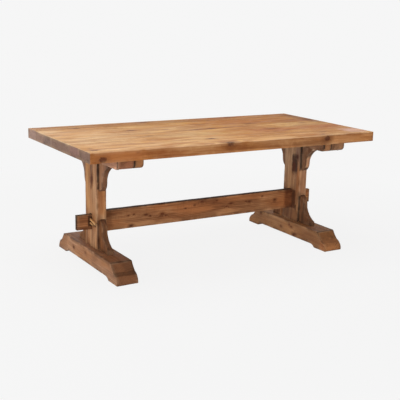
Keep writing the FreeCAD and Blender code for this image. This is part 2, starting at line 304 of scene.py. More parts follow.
# %% [markdown]
# ## Marks of wear and of the plane
# On old furniture no arris is sharp and none is even: hands, brooms and chair legs have rounded
# some lengths of it more than others. A bevel with a weight on each short length of edge does
# that. Then a shallow displacement, always inwards because wear only takes away, gives the faces
# the slight hollows that a hand plane and the drying of the wood leave. The points on the arrises
# are marked in an attribute, which the finishes read later.

# %% Tools to wear and finish a piece
sharp_angle = math.radians(28)
smooth_angle = math.radians(40)
wear_scale, wear_contrast, least_wear = 9.0, 0.9, 0.35
finer_scale, finer_share = 3.1, 0.6
crisp_share, crisp_mark = 0.15, 0.12
round_segments = 3
made = {}


def wear_at(place):
    """How much an arris is worn at a place, up to 1, in an uneven but repeatable way."""
    wave = noise.noise(place * wear_scale)
    wave += finer_share * noise.noise(place * wear_scale * finer_scale)
    return least_wear + (1 - least_wear) * min(1, max(0, 0.5 + wave * wear_contrast))


def wear_edges(piece, width, crisp):
    """Rounds the sharp edges unevenly and marks them. Those that stay crisp are only eased."""
    bpy.ops.object.mode_set(mode="EDIT")
    bpy.ops.mesh.select_mode(type="EDGE")
    bpy.ops.mesh.select_all(action="DESELECT")
    bpy.ops.mesh.edges_select_sharp(sharpness=sharp_angle)
    mesh = bmesh.from_edit_mesh(piece.data)
    weight = mesh.edges.layers.float.new("bevel_weight_edge")
    worn = mesh.verts.layers.float.new("edge_wear")
    for edge in mesh.edges:
        if not edge.select:
            continue
        place = middle_of(edge)
        kept = crisp(place)
        edge[weight] = crisp_share if kept else wear_at(place)
        for corner in edge.verts:
            corner[worn] = max(corner[worn], crisp_mark if kept else 1.0)
    bmesh.update_edit_mesh(piece.data)
    bpy.ops.object.mode_set(mode="OBJECT")
    bevel = piece.modifiers.new("worn_edges", "BEVEL")
    bevel.limit_method = "WEIGHT"
    bevel.use_clamp_overlap = False
    bevel.width = width
    bevel.segments = round_segments
    bpy.ops.object.modifier_apply(modifier=bevel.name)


plane_marks = bpy.data.textures.new("plane_marks", "CLOUDS")
plane_marks.noise_scale = 0.07
plane_marks.noise_depth = 2


def plane_by_hand(piece, depth):
    """Hollows the faces slightly, inwards only, and smooths the shading over the rounded edges."""
    hollow = piece.modifiers.new("hand_planed", "DISPLACE")
    hollow.texture = plane_marks
    hollow.texture_coords = "LOCAL"
    hollow.mid_level = 1.0
    hollow.strength = depth
    bpy.ops.object.modifier_apply(modifier=hollow.name)
    bpy.ops.object.shade_smooth_by_angle(angle=smooth_angle)
    flatten = piece.modifiers.new("flat_faces", "WEIGHTED_NORMAL")
    flatten.keep_sharp = True
    bpy.ops.object.modifier_apply(modifier=flatten.name)


def hand_over(piece, node, wear, hollow, crisp=lambda place: False, body="table"):
    """Wears and planes a piece, which then stands for its CAD node, in its body."""
    wear_edges(piece, wear, crisp)
    plane_by_hand(piece, hollow)
    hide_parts(node)
    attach(piece, body)
    made[node] = piece
    bpy.ops.object.select_all(action="DESELECT")
    print(piece.name, len(piece.data.polygons), "faces")


# %% [markdown]
# ## The planks of the top
# Seven boards, 60 mm thick, are joined edge to edge so closely that little more than a change of
# colour shows the joint. Each board is its own piece with its own wood. The joints are barely
# eased, while the edge of the whole top is rounded by long use.

# %% Make the planks
plank_nodes = ["plank_%d" % number for number in range(1, 8)]
first_plank, last_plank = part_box(plank_nodes[0]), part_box(plank_nodes[-1])
top_low, top_high = first_plank[0], last_plank[1]


def make_plank(node):
    """One board of the top."""
    low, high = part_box(node)
    plank = start_block("old_" + node, low, high)
    saw_evenly(low.x, high.x, X)
    saw_evenly(low.y, high.y, Y, step=0.03)
    saw_evenly(low.z, high.z, Z, step=0.02)

    def in_joint(place):
        from_side = min(place.y - top_low.y, top_high.y - place.y)
        from_end = min(place.x - top_low.x, top_high.x - place.x)
        from_face = min(place.z - top_low.z, top_high.z - place.z)
        return from_side > touching and max(from_end, from_face) > touching

    hand_over(plank, node, wear=0.0042, hollow=0.0005, crisp=in_joint)


for node in plank_nodes:
    make_plank(node)

# %% [markdown]
# ## The bearers and battens
# Under each end of the top lies a bearer, glued side by side to a batten, and both are well
# rounded underneath at their ends. Pieces that are glued together run a few millimetres into each
# other, so that no light shows between them where their faces are hollowed. Only the worn arrises
# stand back from each other there, which leaves a dark groove along the joint.

# %% Make the bearers and battens
joint_overlap = 0.003
end_round, end_segments = 0.030, 7


def make_cross_piece(node, joint_side):
    """A bearer or a batten. A sign gives the side on which the two are glued together."""
    low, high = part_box(node)
    high.z += joint_overlap
    if joint_side > 0:
        high.x += joint_overlap / 2
    else:
        low.x -= joint_overlap / 2
    piece = start_block("old_" + node, low, high)

    def under_end(edge):
        place = middle_of(edge)
        return meets(abs(place.y), high.y) and meets(place.z, low.z)

    work_on(piece, "edges", under_end, bpy.ops.mesh.bevel, offset=end_round,
            segments=end_segments, affect="EDGES")
    saw_evenly(low.y + end_round, high.y - end_round, Y)
    saw_evenly(low.x, high.x, X, step=0.02)
    saw_evenly(low.z + end_round, high.z, Z, step=0.015)
    hand_over(piece, node, wear=0.0055, hollow=0.0014)


for side, sign in (("left", -1), ("right", 1)):
    make_cross_piece("bearer_" + side, -sign)
    make_cross_piece("batten_" + side, sign)

# %% [markdown]
# ## The posts
# Each post is one wide board on end. The stretcher's tenon goes through it, so the post has a real
# mortise: the wall is sawn round the opening, and the faces on both sides are bridged to make the
# way through. The mortise is cut a little larger than the tenon, which leaves the dark line that
# shows round it.

# %% Make the posts
tenon_low_y, tenon_high_y = -0.007, 0.019
tenon_low_z, tenon_high_z = 0.222, 0.314
mortise_room = 0.0015
crisp_half, crisp_low, crisp_high = 0.03, 0.2, 0.34


def open_through(piece, axis, low, high):
    """Opens a way right through a piece, where a box's low and high corners say."""
    across = [other for other in (X, Y, Z) if other != axis]
    for other in across:
        saw_across((low[other], high[other]), other)

    def in_window(face):
        place = middle_of(face)
        in_box = all(low[other] < place[other] < high[other] for other in across)
        return in_box and low[axis] < place[axis] < high[axis] and abs(face.normal[axis]) > facing

    work_on(piece, "faces", in_window, bpy.ops.mesh.bridge_edge_loops)


def make_post(side):
    """A post between foot and bearer, with the mortise for the stretcher's tenon."""
    node = "post_" + side
    low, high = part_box(node)
    low.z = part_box("foot_" + side)[1].z - joint_overlap
    high.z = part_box("bearer_" + side)[0].z + joint_overlap
    post = start_block("old_" + node, low, high)
    opening_low = Vector((low.x - 1, tenon_low_y - mortise_room, tenon_low_z - mortise_room))
    opening_high = Vector((high.x + 1, tenon_high_y + mortise_room, tenon_high_z + mortise_room))
    open_through(post, X, opening_low, opening_high)
    saw_evenly(low.z, high.z, Z, clear_of=(opening_low.z, opening_high.z))
    saw_evenly(low.y, high.y, Y, step=0.025, clear_of=(opening_low.y, opening_high.y))
    saw_evenly(low.x, high.x, X, step=0.018)

    def at_mortise(place):
        return abs(place.y) < crisp_half and crisp_low < place.z < crisp_high

    hand_over(post, node, wear=0.005, hollow=0.0018, crisp=at_mortise)


for side in ("left", "right"):
    make_post(side)

# %% [markdown]
# ## Curves for the shaped pieces
# The foot and the bracket are sawn to shallow arcs. A joiner would bend a batten through three
# marks; here the same arc is found from the three marks, and a few points are taken along it.

# %% Find an arc through three marks
def arc_through(start, middle, end, count):
    """Points along the arc through three marks, from the first mark to the last."""
    start, middle, end = Vector(start), Vector(middle), Vector(end)
    to_middle, to_end = middle - start, end - start
    turn = 2 * (to_middle.x * to_end.y - to_middle.y * to_end.x)
    square_middle, square_end = to_middle.length_squared, to_end.length_squared
    centre = start + Vector((
        to_end.y * square_middle - to_middle.y * square_end,
        to_middle.x * square_end - to_end.x * square_middle,
    )) / turn
    first, last = start - centre, end - centre
    sweep = math.atan2(first.x * last.y - first.y * last.x, first.dot(last))
    return [centre + Matrix.Rotation(sweep * step / count, 2) @ first for step in range(count + 1)]


half_circle = arc_through((-1, 0), (0, 0.5), (1, 0), 4)
print("an arc over a chord:", [tuple(round(value, 2) for value in point) for point in half_circle])

# %% [markdown]
# ## The feet
# A foot is a sled: a heavy rail with ogee ends, a hollow that runs into a swell, and a shallow
# relief underneath, so that it stands on a pad at each end. The block is sawn across at every mark
# of the outline, and then the upper points come down to the ogee and the lower ones go up to the
# relief.

# %% Make the feet
end_run = 0.090
pad_length = 0.114
relief_height = 0.018
cove_run = 0.038
ogee_break, ogee_hollow = (0.07, 0.97), (0.27, 0.75)
ogee_waist, ogee_swell = (0.51, 0.555), (0.835, 0.40)
cove_middle = (0.44, 0.73)
nose_height = 0.012
upright_least = 0.03


def foot_outline(half_length, height):
    """Half of a foot's outline, above and below, as heights at distances from the middle."""
    flat_half = half_length - end_run
    marks = [(flat_half + end_run * out, height * up)
             for out, up in (ogee_break, ogee_hollow, ogee_waist, ogee_swell, (1, 0))]
    upper = arc_through(*marks[:3], 6) + arc_through(*marks[2:], 6)[1:-2]
    upper.append(Vector((half_length, nose_height)))
    pad_inner = half_length - pad_length
    cove = [(pad_inner - cove_run * back, relief_height * up)
            for back, up in ((1, 1), cove_middle, (0, 0))]
    return flat_half, upper, arc_through(*cove, 4)


def make_foot(side):
    """A foot with its ogee ends, its two pads and the relief between them."""
    node = "foot_" + side
    low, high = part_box(node)
    foot = start_block("old_" + node, low, high)
    flat_half, upper, lower = foot_outline(high.y, high.z)
    stations = [flat_half] + [point.x for point in upper[:-1] + lower]
    saw_across([-place for place in stations] + stations, Y)
    for point in upper:
        slide(foot, lambda v: meets(abs(v.co.y), point.x) and v.co.z > high.z - touching,
              (0, 0, point.y - high.z))
    for point in lower[:-1]:
        slide(foot, lambda v: meets(abs(v.co.y), point.x) and v.co.z < touching, (0, 0, point.y))

    def upright(edge):
        first, second = (corner.co for corner in edge.verts)
        return abs(first.z - second.z) > upright_least and meets(first.y, second.y)

    work_on(foot, "edges", upright, bpy.ops.mesh.subdivide, number_cuts=3)
    saw_evenly(-lower[0].x, lower[0].x, Y)
    saw_evenly(low.x, high.x, X)
    hand_over(foot, node, wear=0.0045, hollow=0.0022)


for side in ("left", "right"):
    make_foot(side)

# %% [markdown]
# ## The brackets
# In each corner of a trestle stands the same shaped board: a toe, a flare up to a waist, and a
# nose that closes on the post. One is worked out of a block by sawing it at the marks and pushing
# its outer points in. It is then copied to the other corners, turned over or mirrored, each copy
# with its own mesh, and every copy is worn on its own.

# %% Make the brackets
bracket_waist, bracket_waist_height, bracket_toe = 0.044, 0.105, 0.026
flare_middle = (0.27, 0.51)
nose_start, nose_middle, nose_tip = (0.95, 0.33), (0.75, 0.70), (0.16, 1)
cuts_from_post = (0.02, 0.065, 0.09)


def bracket_outline(reach, height):
    """How far a bracket stands out at each height, from its toe to its nose."""
    flare_run, flare_rise = reach - bracket_waist, bracket_waist_height - bracket_toe
    nose_rise = height - bracket_waist_height
    waist = (bracket_waist, bracket_waist_height)
    flare = (bracket_waist + flare_run * flare_middle[0],
             bracket_toe + flare_rise * flare_middle[1])
    nose = [(bracket_waist * out, bracket_waist_height + nose_rise * up)
            for out, up in (nose_start, nose_middle, nose_tip)]
    return arc_through((reach, bracket_toe), flare, waist, 6) + arc_through(*nose, 6)


def make_first_bracket():
    """The lower back bracket of the right trestle, which all the others are copied from."""
    low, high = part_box("lower_back_bracket_right")
    against_post, on_foot = low.y, low.z
    outline = bracket_outline(high.y - against_post, high.z - on_foot)
    bracket = start_block("first_bracket", low, high)
    saw_across([on_foot + point.y for point in outline[:-1]], Z)
    for point in outline:
        at = on_foot + point.y
        slide(bracket, lambda v: meets(v.co.z, at) and v.co.y > high.y - touching,
              (0, against_post + point.x - high.y, 0))
    slide(bracket, lambda v: v.co.y < against_post + touching, (0, -joint_overlap, 0))
    slide(bracket, lambda v: v.co.z < on_foot + touching, (0, 0, -joint_overlap))
    saw_across([against_post + cut for cut in cuts_from_post], Y)
    saw_across([(low.x + high.x) / 2], X)
    return bracket


def copy_bracket(first, node):
    """A copy of the first bracket with its own mesh, turned into the corner of another node."""
    home_low, home_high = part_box("lower_back_bracket_right")
    low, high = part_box(node)
    bpy.ops.object.select_all(action="DESELECT")
    first.select_set(True)
    bpy.context.view_layer.objects.active = first
    bpy.ops.object.duplicate(linked=False)
    bracket = bpy.context.object
    bracket.name = "old_" + node
    bracket.data.name = bracket.name
    flips = (1, -1 if "front" in node else 1, -1 if "upper" in node else 1)
    bpy.ops.object.mode_set(mode="EDIT")
    bpy.ops.mesh.select_all(action="SELECT")
    bpy.ops.transform.resize(value=flips, center_override=(home_low + home_high) / 2)
    bpy.ops.transform.translate(value=(low + high - home_low - home_high) / 2)
    bpy.ops.mesh.normals_make_consistent(inside=False)
    bpy.ops.object.mode_set(mode="OBJECT")
    hand_over(bracket, node, wear=0.0036, hollow=0.0016)


first_bracket = make_first_bracket()
for side in ("left", "right"):
    for corner in ("lower_back", "lower_front", "upper_back", "upper_front"):
        copy_bracket(first_bracket, corner + "_bracket_" + side)
bpy.data.objects.remove(first_bracket)

# %% [markdown]
# ## The stretcher
# The stretcher is a board on edge. At each end its shoulders stop against the post, and a tenon
# runs on through the mortise and out at the other side, with two slots for the wedges. The board
# is sawn round the tenon, the tenon's face is extruded, and the slots are opened right through
# from front to back. Then their front mouths are moved down and their back mouths up, which puts
# them on a slant.

# %% Make the stretcher
post_inner_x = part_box("post_right")[0].x
post_outer_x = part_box("post_right")[1].x
slot_inner_x, slot_outer_x = post_outer_x - 0.006, post_outer_x + 0.0129
slot_heights = ((0.2556, 0.2687), (0.2785, 0.2915))
wedge_slant = math.radians(10)
slot_drop = (tenon_high_y - tenon_low_y) / 2 * math.tan(wedge_slant)


def make_stretcher():
    """The stretcher with a slotted tenon at each end."""
    low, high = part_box("stretcher")
    tenon_end = high.x
    body_low = Vector((-post_inner_x - joint_overlap, low.y, low.z))
    body_high = Vector((post_inner_x + joint_overlap, high.y, high.z))
    stretcher = start_block("old_stretcher", body_low, body_high)
    saw_across((tenon_low_y, tenon_high_y), Y)
    saw_across((tenon_low_z, tenon_high_z), Z)
    for way in (-1, 1):
        def end_window(face):
            place = middle_of(face)
            in_tenon = tenon_low_y < place.y < tenon_high_y and tenon_low_z < place.z < tenon_high_z
            return in_tenon and face.normal.x * way > facing

        reach = (tenon_end - body_high.x) * way
        work_on(stretcher, "faces", end_window, bpy.ops.mesh.extrude_region_move,
                TRANSFORM_OT_translate={"value": (reach, 0, 0)})
    for way in (-1, 1):
        ends = sorted((way * slot_inner_x, way * slot_outer_x))
        for slot_low_z, slot_high_z in slot_heights:
            slot_low = Vector((ends[0], tenon_low_y - 0.001, slot_low_z))
            slot_high = Vector((ends[1], tenon_high_y + 0.001, slot_high_z))
            open_through(stretcher, Y, slot_low, slot_high)
        for mouth_y, drop in ((tenon_low_y, -slot_drop), (tenon_high_y, slot_drop)):
            def on_rim(vert):
                place = vert.co
                across = ends[0] - touching < place.x < ends[1] + touching
                level = any(below - touching < place.z < above + touching
                            for below, above in slot_heights)
                return across and level and meets(place.y, mouth_y)

            slide(stretcher, on_rim, (0, 0, drop))
    saw_evenly(body_low.x, body_high.x, X)
    for way in (-1, 1):
        saw_evenly(*sorted((way * slot_outer_x, way * tenon_end)), X)
    cuts = (tenon_low_z, *slot_heights[0], *slot_heights[1], tenon_high_z)
    saw_evenly(low.z, high.z, Z, clear_of=cuts)

    def in_post(place):
        return post_inner_x - 0.01 < abs(place.x) < slot_outer_x + 0.002

    hand_over(stretcher, "stretcher", wear=0.0036, hollow=0.0018, crisp=in_post)


make_stretcher()

# %% [markdown]
# ## The wedges
# Two wedges go through each tenon, one above the other, driven in on a slant from opposite sides.
# Each is thinned towards its tip both ways, away from the post and away from the other wedge, so
# that a tap on the heads draws the joint tight. The ends are broken with a bevel, so that the
# mallet doesn't split them. A wedge is worked level and turned about the middle of the tenon at
# the end.

# %% Make the wedges
wedge_head_reach, wedge_tip_reach = 0.078, 0.034
wedge_head_thickness, wedge_tip_thickness = 0.015, 0.010
wedge_head_height, wedge_tip_height = 0.013, 0.010
lower_wedge_top, upper_wedge_bottom = 0.268, 0.279
wedge_gap, wedge_end_bevel = 0.0002, 0.0018
tenon_middle = Vector((0, (tenon_low_y + tenon_high_y) / 2, (tenon_low_z + tenon_high_z) / 2))


def make_wedge(node):
    """A wedge whose head is at the front when it is an upper one, and at the back when it isn't."""
    way = 1 if "right" in node else -1
    if "upper" in node:
        head_y, tip_y = tenon_low_y - wedge_head_reach, tenon_high_y + wedge_tip_reach
        straight_z, outer_z = upper_wedge_bottom, upper_wedge_bottom + wedge_head_height
    else:
        head_y, tip_y = tenon_high_y + wedge_head_reach, tenon_low_y - wedge_tip_reach
        straight_z, outer_z = lower_wedge_top, lower_wedge_top - wedge_head_height
    inner_x = way * (post_outer_x + wedge_gap)
    outer_x = inner_x + way * wedge_head_thickness
    x, y, z = sorted((inner_x, outer_x)), sorted((head_y, tip_y)), sorted((straight_z, outer_z))
    wedge = start_block("old_" + node, Vector((x[0], y[0], z[0])), Vector((x[1], y[1], z[1])))
    thinner = way * (wedge_tip_thickness - wedge_head_thickness)
    slide(wedge, lambda v: meets(v.co.x, outer_x) and meets(v.co.y, tip_y), (thinner, 0, 0))
    flatter = (wedge_head_height - wedge_tip_height) * (-1 if "upper" in node else 1)
    slide(wedge, lambda v: meets(v.co.z, outer_z) and meets(v.co.y, tip_y), (0, 0, flatter))

    def at_ends(edge):
        return all(any(meets(v.co.y, end) for end in y) for v in edge.verts)

    work_on(wedge, "edges", at_ends, bpy.ops.mesh.bevel, offset=wedge_end_bevel, segments=1,
            affect="EDGES")
    saw_evenly(y[0] + 0.002, y[1] - 0.002, Y, step=0.012)
    saw_across([sum(z) / 2], Z)
    work_on(wedge, "verts", lambda v: True, bpy.ops.transform.rotate, value=-wedge_slant,
            orient_axis="X", center_override=tenon_middle)
    hand_over(wedge, node, wear=0.0008, hollow=0.0004, body=node)


for side in ("left", "right"):
    make_wedge("upper_wedge_" + side)
    make_wedge("lower_wedge_" + side)

# %% [markdown]
# ## Groups of nodes
# What several woods share, such as growth rings, fibres, knots and grime, is a node group with
# named inputs and outputs, built once and placed in each wood with its own values. A group is a
# tree of its own, so it is wired as any other, and so are the woods, which need colours and noise
# besides.

# %% Tools for finishes and groups
socket_kinds = {1: "NodeSocketFloat", 3: "NodeSocketVector", 4: "NodeSocketColor"}
nowhere, halfway = (0.0, 0.0, 0.0), (0.5, 0.5, 0.5)


class Finish(Wiring):
    """The wiring of a finish, with colours, noise and groups."""

    def times_plus(self, first, second, third):
        """One value times another, plus a third."""
        return self.calc("MULTIPLY_ADD", first, second, third)

    def fade(self, value, full, gone):
        """1 below the full value, and 0 above the one where it is gone."""
        return self.spread(value, full, gone, 1, 0)

    def blend(self, share, first, second, way="MIX"):
        """Mixes two colours by a share from 0 to 1."""
        mix = self.add("Mix", share, data_type="RGBA", blend_type=way, out=2)
        self.feed(mix.node.inputs[6], first)
        self.feed(mix.node.inputs[7], second)
        return mix

    def cloud(self, place, per_metre, detail=3.0, out="Fac"):
        """Soft noise from 0 to 1, with so many clouds in a metre along each axis."""
        stretched = self.add("Mapping", Vector=place, Scale=per_metre)
        return self.add("TexNoise", Vector=stretched, Scale=1.0, Detail=detail, out=out)

    def cells(self, place):
        """Cells round strewn points, with the outputs Distance, Color and Position."""
        return self.add("TexVoronoi", Vector=place, Scale=1.0).node.outputs

    def place_group(self, group, **values):
        """Puts a group into a finish with its own values. Input names have a _ for a space."""
        return self.add("Group", node_tree=group.tree, **values).node.outputs


class Group(Finish):
    """A node group. Each input's plain value shows if it is a value, a place or a colour."""

    def __init__(self, name, inputs, outputs):
        super().__init__(bpy.data.node_groups.new(name, "ShaderNodeTree"))
        sockets = self.tree.interface
        for label, plain in inputs.items():
            kind = socket_kinds[1 if isinstance(plain, float) else len(plain)]
            sockets.new_socket(label, in_out="INPUT", socket_type=kind).default_value = plain
        for label in outputs:
            kind = socket_kinds[4 if label == "Color" else 1]
            sockets.new_socket(label, in_out="OUTPUT", socket_type=kind)
        self.given = self.tree.nodes.new("NodeGroupInput").outputs
        self.results = self.tree.nodes.new("NodeGroupOutput").inputs

    def __getitem__(self, label):
        return self.given[label]

    def give(self, **results):
        """Hands on the group's results."""
        for label, value in results.items():
            self.feed(self.results[label.replace("_", " ")], value)
        print("group", self.tree.name)


def dye(red, green, blue):
    """A colour as a screen shows it, from 0 to 255, turned into the light that it stands for."""
    shares = [value / 255 for value in (red, green, blue)]
    return [s / 12.92 if s <= 0.04045 else ((s + 0.055) / 1.055) ** 2.4 for s in shares] + [1.0]


print("a middle grey gives", [round(value, 3) for value in dye(128, 128, 128)])

# %% [markdown]
# ## Growth rings
# A board is cut from round layers of pale early wood and dark late wood. The group measures the
# distance from the heart of the tree, which runs along X in the wood's own space, and cuts it into
# rings. A slow bend along the trunk turns straight lines into the long arches of a flat-sawn face,
# and the same rings come out as arcs on the end of the board, because the pattern is solid.

# %% Build the growth rings
bend_clouds, year_clouds = (0.9, 4.0, 4.0), (38.0, 1.0, 1.0)
year_share = 0.03
rings = Group("growth_rings", {"Place": nowhere, "Ring Width": 0.005, "Bend": 0.02, "Swell": 0.0},
              ["Late Wood"])
wander = rings.cloud(rings["Place"], bend_clouds, 2.0, "Color")
wander = rings.calc_place("SUBTRACT", wander, halfway)
bent = rings.add("VectorMath", wander, operation="SCALE", Scale=rings.times(rings["Bend"], 2.0))
crooked = rings.calc_place("ADD", rings["Place"], bent)
across_grain = rings.calc_place("MULTIPLY", crooked, (0, 1, 1))
from_heart = rings.calc("ADD", rings.calc_place("LENGTH", across_grain), rings["Swell"])
good_years = rings.cloud(rings.add("CombineXYZ", from_heart), year_clouds, 2.0)
uneven = rings.times_plus(good_years, year_share, from_heart)
phase = rings.calc("FRACT", rings.calc("DIVIDE", uneven, rings["Ring Width"]))
rings.give(Late_Wood=rings.times(rings.spread(phase, 0.25, 0.88), rings.fade(phase, 0.93, 1.0)))

# %% [markdown]
# ## Fibres and long streaks
# Along the grain the wood is a bundle of fibres. Noise that is stretched along X gives fine lines
# for close views, and broad streaks, a finger wide and as long as an arm, that show from far off.
# The saw that cut the board left faint marks straight across the grain, here and there.

# %% Build the fibres
fibres = Group("long_fibres", {"Place": nowhere}, ["Fine", "Streak", "Broad", "Saw Marks"])
fine = fibres.cloud(fibres["Place"], (7.0, 420.0, 420.0))
streak = fibres.cloud(fibres["Place"], (3.0, 60.0, 60.0), 4.0)
broad = fibres.cloud(fibres["Place"], (3.4, 21.0, 21.0))
saw_lines = fibres.cloud(fibres["Place"], (170.0, 9.0, 9.0), 2.0)
sawn_parts = fibres.cloud(fibres["Place"], (5.0, 9.0, 9.0), 2.0)
fibres.give(
    Fine=fibres.spread(fine, 0.3, 0.7),
    Streak=fibres.spread(streak, 0.42, 0.62),
    Broad=fibres.spread(broad, 0.44, 0.62),
    Saw_Marks=fibres.times(fibres.spread(saw_lines, 0.5, 0.66),
                           fibres.spread(sawn_parts, 0.45, 0.6)),
)

# %% [markdown]
# ## Knots
# A knot is the root of a branch. Its core is dark and has small rings of its own, a reddish halo
# lies round it, and the growth rings swell past it. Each knot that can be told apart on the table is
# given one by one, and small ones that are strewn by chance fill the rest.

# %% Build the knots
ring_count, ring_contrast = 16.0, 0.12
core_edge, halo_edge, swell_edge = (0.66, 1.04), (0.8, 2.6), (0.2, 3.6)
swell_most = 0.011
knot = Group(
    "knot",
    {"Place": nowhere, "Centre": nowhere, "Size": (0.02, 0.01, 0.01), "Darkness": 1.0},
    ["Core", "Halo", "Swell"])
ragged = knot.cloud(knot["Place"], (90, 90, 90), 3.0, "Color")
ragged = knot.calc_place("MULTIPLY", knot.calc_place("SUBTRACT", ragged, halfway), knot["Size"])
offset = knot.calc_place("SUBTRACT", knot["Place"], knot["Centre"])
offset = knot.calc_place("ADD", offset, ragged)
reach = knot.calc_place("LENGTH", knot.calc_place("DIVIDE", offset, knot["Size"]))
small_ring = knot.calc("SINE", knot.times(reach, ring_count))
small_ring = knot.times_plus(small_ring, ring_contrast, 1 - ring_contrast)
core = knot.times(knot.fade(reach, *core_edge), small_ring)
knot.give(
    Core=knot.times(core, knot["Darkness"]),
    Halo=knot.times(knot.fade(reach, *halo_edge), knot["Darkness"]),
    Swell=knot.spread(reach, *swell_edge, swell_most, 0),
)

# %% Build the small knots that chance strews
cell_scale = (4.5, 14.0, 14.0)
small_size, least_size, size_range = (0.011, 0.0065, 0.0065), 0.6, 1.2
small_core_edge, small_halo_edge, ragged_share = (0.8, 1.4), (1.0, 3.4), 0.8
strewn = Group("strewn_knots", {"Place": nowhere, "Share": 0.4}, ["Core", "Halo"])
cell_place = strewn.calc_place("MULTIPLY", strewn["Place"], cell_scale)
cells = strewn.cells(cell_place)
away = strewn.calc_place("SUBTRACT", cells["Position"], cell_place)
away = strewn.calc_place("DIVIDE", strewn.calc_place("DIVIDE", away, cell_scale), small_size)
ragged = strewn.times(strewn.cloud(strewn["Place"], (160, 160, 160)), ragged_share)
away = strewn.calc("ADD", strewn.calc_place("LENGTH", away), ragged)
lot = strewn.add("SeparateColor", cells["Color"]).node.outputs
drawn = strewn.calc("LESS_THAN", lot[0], strewn["Share"])
sized = strewn.times(away, strewn.times_plus(lot[1], size_range, least_size))
strewn.give(Core=strewn.times(strewn.fade(sized, *small_core_edge), drawn),
            Halo=strewn.times(strewn.fade(sized, *small_halo_edge), drawn))

# %% [markdown]
# ## Age
# Old wood is blotched where hands, mops and the sun have been, it is warmer in one patch than in the
# next, and it is peppered with worm holes and small dents. One group gives all of these and a little
# unevenness for the gloss. The other is a single soft-edged patch that is put in one place: a
# bleached or a reddish part of a board, and also painted light: painted shade in a corner or a
# crease, or a painted highlight or sheen.

# %% Build the marks of age
least_holes, most_holes = 0.02, 0.3
age = Group("marks_of_age", {"Place": nowhere}, ["Blotch", "Warmth", "Speck", "Dull"])
holes = age.cells(age.calc_place("MULTIPLY", age["Place"], (38.0, 70.0, 70.0)))
hole_patches = age.cloud(age["Place"], (5, 5, 5), 2.0)
hole_share = age.spread(hole_patches, 0.45, 0.75, least_holes, most_holes)
drawn = age.calc("LESS_THAN", age.add("SeparateColor", holes["Color"]), hole_share)
age.give(
    Blotch=age.spread(age.cloud(age["Place"], (4.0, 12.0, 12.0), 4.0), 0.46, 0.66),
    Warmth=age.spread(age.cloud(age["Place"], (2.6, 9.0, 9.0)), 0.4, 0.6),
    Speck=age.times(age.fade(holes["Distance"], 0.07, 0.16), drawn),
    Dull=age.spread(age.cloud(age["Place"], (12, 30, 30)), 0.3, 0.7),
)

# %% Build the soft-edged patch, for staining and for painted light and shade
stain_and_light_patch = Group("stain_and_light_patch", {"Place": nowhere, "Centre": nowhere, "Half Size": (0.01, 0.01, 0.01),
                        "Softness": (0.02, 0.02, 0.02)}, ["Mask"])
beside = stain_and_light_patch.calc_place("ABSOLUTE", stain_and_light_patch.calc_place("SUBTRACT", stain_and_light_patch["Place"], stain_and_light_patch["Centre"]))
beside = stain_and_light_patch.calc_place("SUBTRACT", beside, stain_and_light_patch["Half Size"])
beside = stain_and_light_patch.calc_place("MAXIMUM", beside, nowhere)
outside = stain_and_light_patch.calc_place("LENGTH", stain_and_light_patch.calc_place("DIVIDE", beside, stain_and_light_patch["Softness"]))
frayed = stain_and_light_patch.times_plus(stain_and_light_patch.cloud(stain_and_light_patch["Place"], (32, 32, 32), 4.0), 1.6, -0.8)
stain_and_light_patch.give(Mask=stain_and_light_patch.fade(stain_and_light_patch.calc("ADD", outside, frayed), 0, 1))

# %% [markdown]
# ## Wood colour
# This group lays the colours over each other in the order in which they came to the wood: rings
# and streaks while it grew, knots, then the end grain that drinks finish and goes grey, the
# blotches and specks of age, and last the arrises, which are rubbed pale in places and dirty in
# others.

# %% Build the wood colour
coat_tones = {"Pale Wood": dye(205, 160, 110), "Warm Wood": dye(190, 130, 75),
              "Dark Wood": dye(150, 95, 55), "Knot Wood": dye(70, 38, 22),
              "End Wood": dye(140, 112, 98), "Grime": dye(60, 40, 28)}
coat_marks = dict.fromkeys(
    ("Late Wood", "Fine", "Streak", "Broad", "Saw Marks", "Halo", "Core", "End", "Blotch", "Warmth",
     "Speck", "Arris Dirt", "Arris Rub"), 0.0)
coat = Group(
    "wood_colour",
    {**coat_tones, **coat_marks, "Ring Strength": 0.4, "Streak Strength": 0.5},
    ["Color", "Depth"])
fine_share, blotch_share, saw_share, halo_share, speck_share = 0.2, 0.42, 0.3, 0.7, 0.8
dark_wood, knot_wood, dirt = coat["Dark Wood"], coat["Knot Wood"], coat["Grime"]
ring_share = coat.times(coat["Late Wood"], coat["Ring Strength"])
streaks = coat.times_plus(coat["Streak"], 0.4, coat.times(coat["Broad"], 0.6))
streak_share = coat.times(streaks, coat["Streak Strength"])
dark_share = coat.calc("MINIMUM", coat.calc("ADD", ring_share, streak_share), 1.0)
colour = coat.blend(coat["Warmth"], coat["Pale Wood"], coat["Warm Wood"])
colour = coat.blend(dark_share, colour, dark_wood)
colour = coat.blend(coat.times(coat["Fine"], fine_share), colour, dark_wood, "MULTIPLY")
colour = coat.blend(coat.times(coat["Blotch"], blotch_share), colour, dark_wood)
colour = coat.blend(coat.times(coat["Saw Marks"], saw_share), colour, dark_wood)
halo_wood = coat.blend(0.5, dark_wood, knot_wood)
colour = coat.blend(coat.times(coat["Halo"], halo_share), colour, halo_wood)
colour = coat.blend(coat["Core"], colour, knot_wood)
end_dirt = coat.times_plus(coat["Late Wood"], 0.45, coat.times(coat["Blotch"], 0.3))
colour = coat.blend(coat["End"], colour, coat.blend(end_dirt, coat["End Wood"], dirt))
colour = coat.blend(coat.times(coat["Speck"], speck_share), colour, dirt)
rubbed = coat.blend(0.3, coat["Pale Wood"], dye(255, 232, 196))
colour = coat.blend(coat["Arris Rub"], colour, rubbed)
colour = coat.blend(coat["Arris Dirt"], colour, dirt)
proud = coat.times_plus(coat["Late Wood"], 0.35, coat.times(coat["Fine"], 0.45))
proud = coat.times_plus(coat["Streak"], 0.2, proud)
coat.give(Color=colour, Depth=coat.calc("SUBTRACT", proud, coat["Speck"]))
